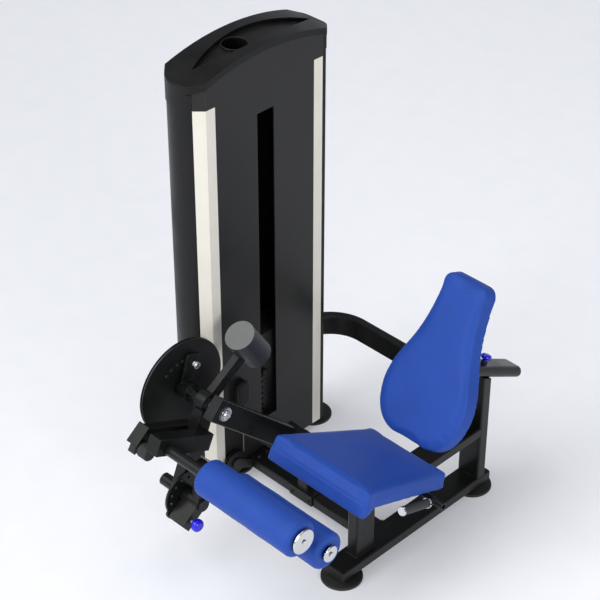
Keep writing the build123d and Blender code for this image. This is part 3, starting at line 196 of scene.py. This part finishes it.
def ridges(direction, pitch):
    """Even ridges across a direction, for ply layers, lathe marks and ribbed grips."""

    def height(tree, coords):
        along = vectors(tree, "DOT_PRODUCT", coords, Vector(direction)).outputs["Value"]
        turns = maths(tree, "MULTIPLY", along, 2 * math.pi / (pitch * MM))
        return maths(tree, "MULTIPLY", maths(tree, "SINE", turns), 0.5)

    return height


def beyond_shank(centre, direction, radius, head_from):
    """1 on the knob of a pull pin and 0 on its steel shank. head_from is along the pin from its centre."""

    def mask(tree, coords):
        arm = vectors(tree, "SUBTRACT", coords, centre).outputs["Vector"]
        off = vectors(tree, "CROSS_PRODUCT", arm, direction).outputs["Vector"]
        length = put(tree, "VectorMath", {0: off}, operation="LENGTH").outputs["Value"]
        along = vectors(tree, "DOT_PRODUCT", arm, direction).outputs["Value"]
        wide = maths(tree, "GREATER_THAN", length, radius)
        return maths(tree, "MAXIMUM", wide, maths(tree, "GREATER_THAN", along, head_from))

    return mask


COUNTER_AXIS = Vector((0, -0.5432, 0.8396))


def cylinder_side(tree, coords):
    """1 on the curved side of the counterweight and 0 on its turned ends."""
    normal = put(tree, "NewGeometry").outputs["Normal"]
    facing = vectors(tree, "DOT_PRODUCT", normal, COUNTER_AXIS).outputs["Value"]
    return maths(tree, "LESS_THAN", maths(tree, "ABSOLUTE", facing), 0.6)


VINYL = (0.020, 0.068, 0.35)
# Each edge colour below is a painted highlight: a lighter colour laid on the corners of that finish.
finishes = {
    "black_paint": finish(
        "black_powder_coat", (0.0075, 0.0080, 0.0078), 0.33, specular=0.28, mottling=0.22,
        grain=(1100.0, 0.22, 0.25), edge=(0.11, 0.115, 0.12), edge_radius=2.2,
    ),
    "dark_panel": finish(
        "dark_grey_panel", (0.0165, 0.0165, 0.0158), 0.38, specular=0.26, mottling=0.10,
        grain=(1400.0, 0.16, 0.2), edge=(0.15, 0.15, 0.15),
    ),
    "ivory_trim": finish(
        "ivory_powder_coat", (0.78, 0.75, 0.66), 0.38, mottling=0.03,
        grain=(1200.0, 0.14, 0.2), edge=(0.92, 0.90, 0.82), edge_radius=1.0,
    ),
    "black_plastic": finish(
        "moulded_plastic", (0.0075, 0.0075, 0.0075), 0.40, specular=0.20, mottling=0.2,
        grain=(1700.0, 0.3, 0.25), edge=(0.07, 0.07, 0.072),
    ),
    "blue_vinyl": finish(
        "blue_vinyl", VINYL, 0.48, specular=0.14, mottling=0.06, grain=(500.0, 0.22, 0.3),
        shine_change=0.05, extra=leather_grain(620.0),
    ),
    "rubber": finish(
        "black_rubber", (0.018, 0.018, 0.018), 0.72, mottling=0.3, grain=(800.0, 0.5, 0.4),
        edge=(0.05, 0.05, 0.05),
    ),
    "chrome": finish(
        "chrome_plate", (0.62, 0.63, 0.64), 0.12, metallic=1.0, mottling=0.03,
        grain=(60.0, 0.03, 0.2), shine_change=0.04,
    ),
    "steel": finish(
        "bright_steel", (0.52, 0.53, 0.54), 0.28, metallic=1.0, mottling=0.08,
        grain=(300.0, 0.12, 0.2), stretch=(1.0, 1.0, 0.06),
    ),
    "iron_plate": finish(
        "cast_iron_plate", (0.020, 0.020, 0.021), 0.50, mottling=0.3, grain=(380.0, 0.5, 0.5),
        edge=(0.12, 0.12, 0.125), edge_radius=2.0,
    ),
    "grey_paint": finish(
        "grey_weight_paint", (0.115, 0.125, 0.120), 0.42, mottling=0.12,
        grain=(420.0, 0.25, 0.35), edge=(0.30, 0.31, 0.30),
        spare=(cylinder_side, (0.016, 0.018, 0.022)),
    ),
    "plywood": finish(
        "birch_plywood", (0.34, 0.23, 0.13), 0.62, mottling=0.25, grain=(140.0, 0.3, 0.4),
        stretch=(1.0, 0.12, 0.12), extra=ridges((0.0, 0.4147, 0.910), 1.4),
    ),
    "cable": finish(
        "coated_cable", (0.10, 0.10, 0.10), 0.30, coat=0.3, mottling=0.2,
        grain=(900.0, 0.2, 0.2), extra=ridges((0.35, 0.6, 0.72), 2.2),
    ),
}
KNOB_BLUE = (0.007, 0.006, 0.62)
SHANK_STEEL = (0.45, 0.46, 0.47)
SHANK_R = 5.7 * MM
HEAD_DEPTH = 8 * MM
pin_axes = {
    "selector_pin": (1, 0, 0),
    "rom_pin": (1, 0, 0),
    "crank_pin": (1, 0, 0),
    "backrest_pin": (0, 0.4749, 0.8801),
}
for node, cad in frame["nodes"].items():
    for used in cad.material_slots:
        name = used.material.name.split(".")[0]
        if name == "blue_knob":
            low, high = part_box(node)
            along = Vector(pin_axes[node])
            spots = [v.co.dot(along) for v in cad.data.vertices]
            head_from = (max(spots) - (low + high).dot(along) / 2) - HEAD_DEPTH
            used.material = finish(
                node + "_finish", SHANK_STEEL, 0.22, coat=0.25, mottling=0.05,
                grain=(260.0, 0.06, 0.2),
                spare=(beyond_shank((low + high) / 2, along, SHANK_R, head_from), KNOB_BLUE),
            )
        elif node == "handle_grips":
            used.material = finish(
                "ribbed_grip", (0.030, 0.030, 0.032), 0.62, mottling=0.2,
                grain=(900.0, 0.7, 0.7), extra=ridges((0, 0.876, -0.482), 3.6),
            )
        else:
            used.material = finishes[name]


# ---------------------------------------------------------------- helpers for pieces
def new_piece(name, mesh, body, slot_name, smooth=True):
    piece = bpy.data.objects.new(name, mesh)
    scene.collection.objects.link(piece)
    mesh.materials.clear()
    mesh.materials.append(finishes[slot_name])
    for face in mesh.polygons:
        face.use_smooth = smooth
    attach(piece, body)
    return piece


def mesh_of(name, points, faces):
    mesh = bpy.data.meshes.new(name)
    mesh.from_pydata([tuple(p) for p in points], [], faces)
    mesh.update()
    return mesh


def lathe(name, profile, start, direction, body, slot_name, steps=72):
    """A closed profile of (distance along, radius) pairs turned round an axis from start."""
    axis = Vector(direction).normalized()
    side = axis.orthogonal().normalized()
    up = axis.cross(side)
    points, faces, n = [], [], len(profile)
    for k in range(steps):
        turn = 2 * math.pi * k / steps
        out = side * math.cos(turn) + up * math.sin(turn)
        points += [Vector(start) + axis * a + out * r for a, r in profile]
        for i in range(n):
            j, m = (i + 1) % n, (k + 1) % steps
            faces.append((k * n + i, m * n + i, m * n + j, k * n + j))
    return new_piece(name, mesh_of(name, points, faces), body, slot_name)


# ---------------------------------------------------------------- upholstery
def evaluated_copy(piece):
    graph = bpy.context.evaluated_depsgraph_get()
    return bpy.data.meshes.new_from_object(piece.evaluated_get(graph))


START_SLACK = 2.5 * MM
WRINKLE_PASSES = 9
VOXEL = 5 * MM
HELD_DEPTH = 5 * MM
SWELL_FROM = 8 * MM
SIM_FRAMES = 20


def smoothed(moves, mesh):
    """The moves evened out between neighbours, so that broad swelling stays and crumples go."""
    linked = [[] for _ in mesh.vertices]
    for edge in mesh.edges:
        a, b = edge.vertices
        linked[a].append(b)
        linked[b].append(a)
    for _ in range(WRINKLE_PASSES):
        moves = [
            (m + sum((moves[j] for j in near), Vector())) / (1 + len(near))
            for m, near in zip(moves, linked)
        ]
    return moves


def cushion(name, node, body, back_normal, back_point):
    """A stuffed pad over a CAD pad: remeshed, swollen by pressure with its back held flat, then evened out
    and subdivided once.
    """
    pad = bpy.data.objects.new(name, frame["nodes"][node].data.copy())
    scene.collection.objects.link(pad)
    flat = bmesh.new()
    flat.from_mesh(pad.data)
    bmesh.ops.remove_doubles(flat, verts=flat.verts, dist=1e-5)
    flat.to_mesh(pad.data)
    flat.free()
    voxels = pad.modifiers.new("voxels", "REMESH")
    voxels.mode, voxels.voxel_size = "VOXEL", VOXEL
    pad.data = evaluated_copy(pad)
    pad.modifiers.clear()
    normal = Vector(back_normal)
    rest = [v.co.copy() for v in pad.data.vertices]
    depth = [(p - back_point).dot(normal) for p in rest]
    start = [
        p - v.normal * (START_SLACK if d > SWELL_FROM else 0.0)
        for p, v, d in zip(rest, pad.data.vertices, depth)
    ]
    for v, p in zip(pad.data.vertices, start):
        v.co = p
    held = pad.vertex_groups.new(name="held")
    held.add([i for i, d in enumerate(depth) if d < HELD_DEPTH], 1.0, "REPLACE")
    sim = pad.modifiers.new("sim", "CLOTH")
    sim.settings.quality = 5
    sim.settings.mass = 0.35
    sim.settings.tension_stiffness = 40
    sim.settings.compression_stiffness = 40
    sim.settings.bending_stiffness = 1.5
    sim.settings.use_pressure = True
    sim.settings.uniform_pressure_force = 4
    sim.settings.effector_weights.gravity = 0
    sim.settings.vertex_group_mass = "held"
    for step in range(1, SIM_FRAMES + 1):
        scene.frame_set(step)
    moved = evaluated_copy(pad)
    pad.modifiers.clear()
    pad.vertex_groups.clear()
    moves = [q.co - p for p, q in zip(start, moved.vertices)]
    moves = smoothed([m * min(1.0, PAD_REACH / max(m.length, 1e-9)) for m in moves], pad.data)
    for v, p, move in zip(pad.data.vertices, start, moves):
        v.co = p + move
    scene.frame_set(1)
    rounder = pad.modifiers.new("rounder", "SUBSURF")
    rounder.levels = rounder.render_levels = 1
    pad.data = evaluated_copy(pad)
    pad.modifiers.clear()
    mesh = pad.data
    bpy.data.objects.remove(pad)
    piece = new_piece(name, mesh, body, "blue_vinyl")
    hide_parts(node)
    return piece


SEAT_N = Vector((0, 0.4147, 0.910))
SEAT_CREST = Vector((0, -95, 554.2)) * MM
PAD_THICK = 55 * MM
PAD_REACH = 7 * MM
BACK_REAR = Vector((0, 0.8801, -0.4749))
BACK_FOOT = Vector((0, 294, 416)) * MM
cushion("seat_cushion", "seat_pad", "frame", SEAT_N, SEAT_CREST - SEAT_N * PAD_THICK)
cushion(
    "backrest_cushion", "backrest_pad", "backrest", -BACK_REAR, BACK_FOOT + BACK_REAR * PAD_THICK
)


ROLLER_BORE_R = 19.5 * MM
ROLLER_ROUND_R = 14 * MM
ROLLER_STEPS = 120
SEAM_DEPTH = 1.6 * MM
SEAM_HALF = 2.2 * MM


def foam_roller(name, node):
    """A tight vinyl sleeve on foam: rounded ends, gathered end faces and one long seam."""
    low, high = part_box(node)
    centre, length = (low + high) / 2, high.x - low.x
    radius, bore, round_r = (high.z - low.z) / 2, ROLLER_BORE_R, ROLLER_ROUND_R
    profile = [(3 * MM, bore), (3 * MM, bore + 6 * MM), (1 * MM, radius * 0.6)]
    profile += [
        (round_r - round_r * math.cos(math.pi / 2 * k / 6),
         radius - round_r + round_r * math.sin(math.pi / 2 * k / 6))
        for k in range(7)
    ]
    profile += [(length * k / 40, radius) for k in range(3, 38)]
    profile += [(length - a, r) for a, r in reversed(profile[:10])]
    steps, n = ROLLER_STEPS, len(profile)
    points, faces = [], []
    for k in range(steps):
        turn = 2 * math.pi * k / steps
        for a, r in profile:
            spot = Vector((a, math.cos(turn) * r, math.sin(turn) * r))
            swell = 0.0
            if r > bore + 5 * MM:
                near_end = min(a, length - a)
                swell = noise.noise(spot * 14) * 1.1 * MM
                swell += math.sin(turn * 26 + noise.noise(spot * 9) * 3) * 0.6 * MM * math.exp(
                    -((near_end - 10 * MM) / (9 * MM)) ** 2
                )
                seam = math.remainder(turn - 1.5 * math.pi, 2 * math.pi) * r
                swell -= SEAM_DEPTH * math.exp(-((seam / SEAM_HALF) ** 2))
                swell = min(swell, 0.8 * MM) - 0.8 * MM
            points.append(
                Vector((low.x + a, centre.y + math.cos(turn) * (r + swell),
                        centre.z + math.sin(turn) * (r + swell)))
            )
        for i in range(n):
            j, m = (i + 1) % n, (k + 1) % steps
            faces.append((k * n + i, k * n + j, m * n + j, m * n + i))
    piece = new_piece(name, mesh_of(name, points, faces), node, "blue_vinyl")
    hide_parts(node)
    return piece


foam_roller("upper_roller_foam", "upper_roller")
foam_roller("lower_roller_foam", "lower_roller")

HEM_WIDTH = 21 * MM
HEM_THICK = 1.3 * MM
HEM_STEP = 6 * MM
STAPLE = Vector((5.5, 0.7, 0.5)) * MM
STAPLE_PITCH = 34 * MM


def back_hem(name, board, body, outward):
    """The cover's edge, folded onto the back of its board and stapled there."""
    normal = Vector(outward)
    spots = [v.co.copy() for v in frame["nodes"][board].data.vertices]
    face = max(p.dot(normal) for p in spots)
    spots = [p for p in spots if face - p.dot(normal) < 0.01 * MM]
    centre = sum(spots, Vector()) / len(spots)
    side = Vector((1, 0, 0))
    up = normal.cross(side)
    turned = sorted(spots, key=lambda p: math.atan2((p - centre).dot(up), (p - centre).dot(side)))
    rim = [turned[0]]
    for spot in turned[1:]:
        gap = spot - rim[-1]
        count = max(1, round(gap.length / HEM_STEP))
        rim += [rim[-1] + gap * (k / count) for k in range(1, count + 1)] if gap.length > MM else []
    closing = rim[0] - rim[-1]
    count = max(1, round(closing.length / HEM_STEP))
    rim += [rim[-1] + closing * (k / count) for k in range(1, count)]
    n = len(rim)
    points, faces, inwards = [], [], []
    for k, spot in enumerate(rim):
        along = (rim[(k + 1) % n] - rim[k - 1]).normalized()
        inward = normal.cross(along)
        inward = inward if inward.dot(centre - spot) > 0 else -inward
        inwards.append(inward)
        width = HEM_WIDTH * (1 + 0.12 * noise.noise(spot * 30))
        lift = HEM_THICK * (1 + 0.35 * noise.noise(spot * 55))
        points += [
            spot + inward * MM, spot + inward * MM + normal * lift * 0.7,
            spot + inward * 4 * MM + normal * lift, spot + inward * width + normal * lift * 0.8,
            spot + inward * width,
        ]
    for k in range(n):
        for i in range(5):
            a, b = k * 5 + i, k * 5 + (i + 1) % 5
            c, d = (k + 1) % n * 5 + (i + 1) % 5, (k + 1) % n * 5 + i
            faces.append((a, b, c, d))
    new_piece(name + "_hem", mesh_of(name + "_hem", points, faces), body, "blue_vinyl")
    points, faces, run = [], [], 0.0
    for k, spot in enumerate(rim):
        run += (spot - rim[k - 1]).length
        if run < STAPLE_PITCH:
            continue
        run = 0.0
        along = (rim[(k + 1) % n] - rim[k - 1]).normalized()
        at = spot + inwards[k] * HEM_WIDTH * 0.55 + normal * HEM_THICK * 1.1
        first = len(points)
        for a, b, c in ((i, j, m) for i in (-1, 1) for j in (-1, 1) for m in (-1, 1)):
            points.append(
                at + along * STAPLE.x * a + inwards[k] * STAPLE.y * b + normal * STAPLE.z * c
            )
        for quad in ((0, 1, 3, 2), (4, 6, 7, 5), (0, 4, 5, 1), (2, 3, 7, 6), (0, 2, 6, 4), (1, 5, 7, 3)):
            faces.append(tuple(first + q for q in quad))
    new_piece(name + "_staples", mesh_of(name + "_staples", points, faces), body, "steel", False)


back_hem("backrest", "backrest_board", "backrest", BACK_REAR)
back_hem("seat", "seat_board", "frame", -SEAT_N)


# ---------------------------------------------------------------- weld beads
WELD_R = 2.6 * MM
WELD_STEP = 1.6 * MM


def weld(name, corners):
    """A rippled fillet bead round a closed path of corners in mm."""
    path = [Vector(c) * MM for c in corners]
    spots = []
    for a, b in zip(path, path[1:] + path[:1]):
        count = max(2, round((b - a).length / WELD_STEP))
        spots += [(a.lerp(b, k / count), (b - a).normalized()) for k in range(count)]
    points, faces, ring = [], [], 8
    for k, (at, along) in enumerate(spots):
        side = along.orthogonal().normalized()
        up = along.cross(side)
        size = WELD_R * (0.8 + 0.2 * abs(math.sin(k * 0.9))) * (1 + 0.15 * noise.noise(at * 120))
        points += [
            at + (side * math.cos(t) + up * math.sin(t)) * size
            for t in [2 * math.pi * i / ring for i in range(ring)]
        ]
    count = len(spots)
    for k in range(count):
        for i in range(ring):
            j, m = (i + 1) % ring, (k + 1) % count
            faces.append((k * ring + i, k * ring + j, m * ring + j, m * ring + i))
    return new_piece(name, mesh_of(name, points, faces), "frame", "black_paint")


def upright_foot(name, x, y, z):
    """A bead round the foot of an upright tube: x and y are its (low, high)."""
    return weld(name, [(x[0], y[0], z), (x[1], y[0], z), (x[1], y[1], z), (x[0], y[1], z)])


def lengthwise_end(name, x, y, z):
    """A bead round the end of a tube that runs front to back: x and z are its (low, high)."""
    return weld(name, [(x[0], y, z[0]), (x[1], y, z[0]), (x[1], y, z[1]), (x[0], y, z[1])])


def crosswise_end(name, x, y, z):
    """A bead round the end of a tube that runs side to side: y and z are its (low, high)."""
    return weld(name, [(x, y[0], z[0]), (x, y[1], z[0]), (x, y[1], z[1]), (x, y[0], z[1])])


SKID_TOP = 65.0
POST_X = (-23, 23)
FRONT_POST_Y = (47, 135)
REAR_POST_Y = (640, 682)
upright_foot("front_post_weld", POST_X, FRONT_POST_Y, SKID_TOP)
upright_foot("rear_post_weld", POST_X, REAR_POST_Y, SKID_TOP)
RAIL_X, RAIL_Z = (-20, 20), (255, 295)
lengthwise_end("front_rail_weld", RAIL_X, FRONT_POST_Y[1], RAIL_Z)
lengthwise_end("rear_rail_weld", RAIL_X, REAR_POST_Y[0], RAIL_Z)
CROSS_END_X = -46
crosswise_end("seat_cross_weld", CROSS_END_X, (160, 200), (231, 311))
crosswise_end("base_cross_weld", CROSS_END_X, (158, 248), (24, 65))
crosswise_end("bent_tube_weld", POST_X[0], (641, 679), (362, 442))

# ---------------------------------------------------------------- fittings on the tower cap
SCREW_R = 4.6 * MM
SCREW_RISE = 1.6 * MM
AXIS_R = 0.02 * MM


def button_screw(name, at):
    """A round screw head with a socket in it, at a place in mm."""
    profile = [(-1 * MM, AXIS_R), (-1 * MM, SCREW_R), (0.4 * MM, SCREW_R)]
    profile += [(SCREW_RISE, SCREW_R * 0.62), (SCREW_RISE, SCREW_R * 0.45)]
    profile += [(0.3 * MM, SCREW_R * 0.38), (0.3 * MM, AXIS_R)]
    return lathe(name, profile, Vector(at) * MM, (0, 0, 1), "frame", "black_plastic", 24)


TRAY_Z = 1659.0
TRAY_MID_Y = 275.5
TRAY_ARCH = 1774.0
TRAY_SCREWS = ((-712, 96), (-700, 84), (-716, 492), (-702, 506))
for k, (x, y) in enumerate(TRAY_SCREWS):
    button_screw("tray_screw_%d" % k, (x, y, TRAY_Z - (y - TRAY_MID_Y) ** 2 / TRAY_ARCH))
CUP = (-710, 220)
CUP_RIM = [(0.4, 42.2), (0.4, 45.0), (1.2, 44.9), (2.0, 44.2), (2.2, 43.4), (1.6, 42.6)]
lathe(
    "cup_rim", [(a * MM, r * MM) for a, r in CUP_RIM],
    Vector((*CUP, TRAY_Z)) * MM, (0, 0, 1), "frame", "dark_panel",
)


# ---------------------------------------------------------------- the lift cable
CABLE_RINGS = 80
CABLE_SIDES = 20


def upright_cable(name, node):
    """A straight cable over a CAD one, baked in place and attached to no body."""
    (x0, y0, z0), (x1, y1, z1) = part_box(node)
    middle, radius = ((x0 + x1) / 2, (y0 + y1) / 2), (x1 - x0) / 2
    points, faces = [], []
    for k in range(CABLE_RINGS + 1):
        z = z0 + (z1 - z0) * k / CABLE_RINGS
        for i in range(CABLE_SIDES):
            turn = 2 * math.pi * i / CABLE_SIDES
            points.append(
                (middle[0] + radius * math.cos(turn), middle[1] + radius * math.sin(turn), z)
            )
    for k in range(CABLE_RINGS):
        for i in range(CABLE_SIDES):
            a, b = k * CABLE_SIDES + i, k * CABLE_SIDES + (i + 1) % CABLE_SIDES
            faces.append((a, b, b + CABLE_SIDES, a + CABLE_SIDES))
    faces.append(tuple(reversed(range(CABLE_SIDES))))
    faces.append(tuple(CABLE_RINGS * CABLE_SIDES + i for i in range(CABLE_SIDES)))
    cable = bpy.data.objects.new(name, mesh_of(name, points, faces))
    scene.collection.objects.link(cable)
    cable.data.materials.append(finishes["cable"])
    for face in cable.data.polygons:
        face.use_smooth = len(face.vertices) == 4
    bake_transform(cable)
    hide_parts(node)


upright_cable("lift_cable_run", "lift_cable")

# ---------------------------------------------------------------- floor, light and camera
FLOOR_HALF = 60
FLOOR_DROP = 0.6 * MM
FLOOR_GLOW = 0.24
SKY_STRENGTH = 0.62
corners = [(FLOOR_HALF * a, FLOOR_HALF * b, 0) for a, b in ((-1, -1), (1, -1), (1, 1), (-1, 1))]
floor = bpy.data.objects.new("floor", mesh_of("floor", corners, [(0, 1, 2, 3)]))
floor.location.z = -FLOOR_DROP
scene.collection.objects.link(floor)
floor.data.materials.append(
    finish("pale_floor", (0.72, 0.73, 0.76), 0.60, specular=0.2, mottling=0.015,
           grain=(60.0, 0.02, 0.2))
)
glow = floor.data.materials[0].node_tree.nodes["Principled BSDF"].inputs
glow["Emission Color"].default_value = (0.93, 0.95, 1.0, 1.0)
glow["Emission Strength"].default_value = FLOOR_GLOW

world = bpy.data.worlds.new("studio")
scene.world = world
world.use_nodes = True
sky = world.node_tree
direction = put(sky, "TexCoord").outputs["Generated"]
rise = put(sky, "SeparateXYZ", {0: direction}).outputs["Z"]
glow_band = ramp(sky, rise, (0.90, 0.93, 1.0, 1.0), (0.34, 0.35, 0.38, 1.0), 0.0, 0.55)
sky.links.new(glow_band, sky.nodes["Background"].inputs["Color"])
sky.nodes["Background"].inputs["Strength"].default_value = SKY_STRENGTH


def softbox(name, at, aim, size, power, colour=(1.0, 1.0, 1.0)):
    lamp = bpy.data.lights.new(name, "AREA")
    lamp.shape, lamp.size, lamp.energy, lamp.color = "DISK", size, power, colour
    holder = bpy.data.objects.new(name, lamp)
    holder.location = at
    holder.rotation_euler = (Vector(aim) - Vector(at)).to_track_quat("-Z", "Y").to_euler()
    scene.collection.objects.link(holder)


MIDDLE = (-0.3, 0.2, 0.7)
softbox("key", (-1.2, -4.8, 2.6), MIDDLE, 2.0, 80)
softbox("side", (4.6, -1.6, 2.0), MIDDLE, 2.2, 105, (1.0, 0.98, 0.95))
softbox("top", (-0.5, 0.6, 5.6), MIDDLE, 3.6, 60)
broad = bpy.data.lights.new("broad", "SUN")
broad.energy, broad.angle = 1.5, math.radians(50)
broad_holder = bpy.data.objects.new("broad", broad)
broad_holder.rotation_euler = Vector((-0.30, -0.50, 0.81)).to_track_quat("Z", "Y").to_euler()
scene.collection.objects.link(broad_holder)

lens = bpy.data.cameras.new("camera")
lens.lens, lens.sensor_width = 112.44, 36.0
lens.clip_end = 200.0
eye = bpy.data.objects.new("camera", lens)
eye.location = (3.1629, -3.3614, 4.4000)
eye.rotation_euler = (math.radians(54.736), 0.0, math.radians(45.0))
scene.collection.objects.link(eye)
scene.camera = eye
scene.view_settings.view_transform = "Standard"
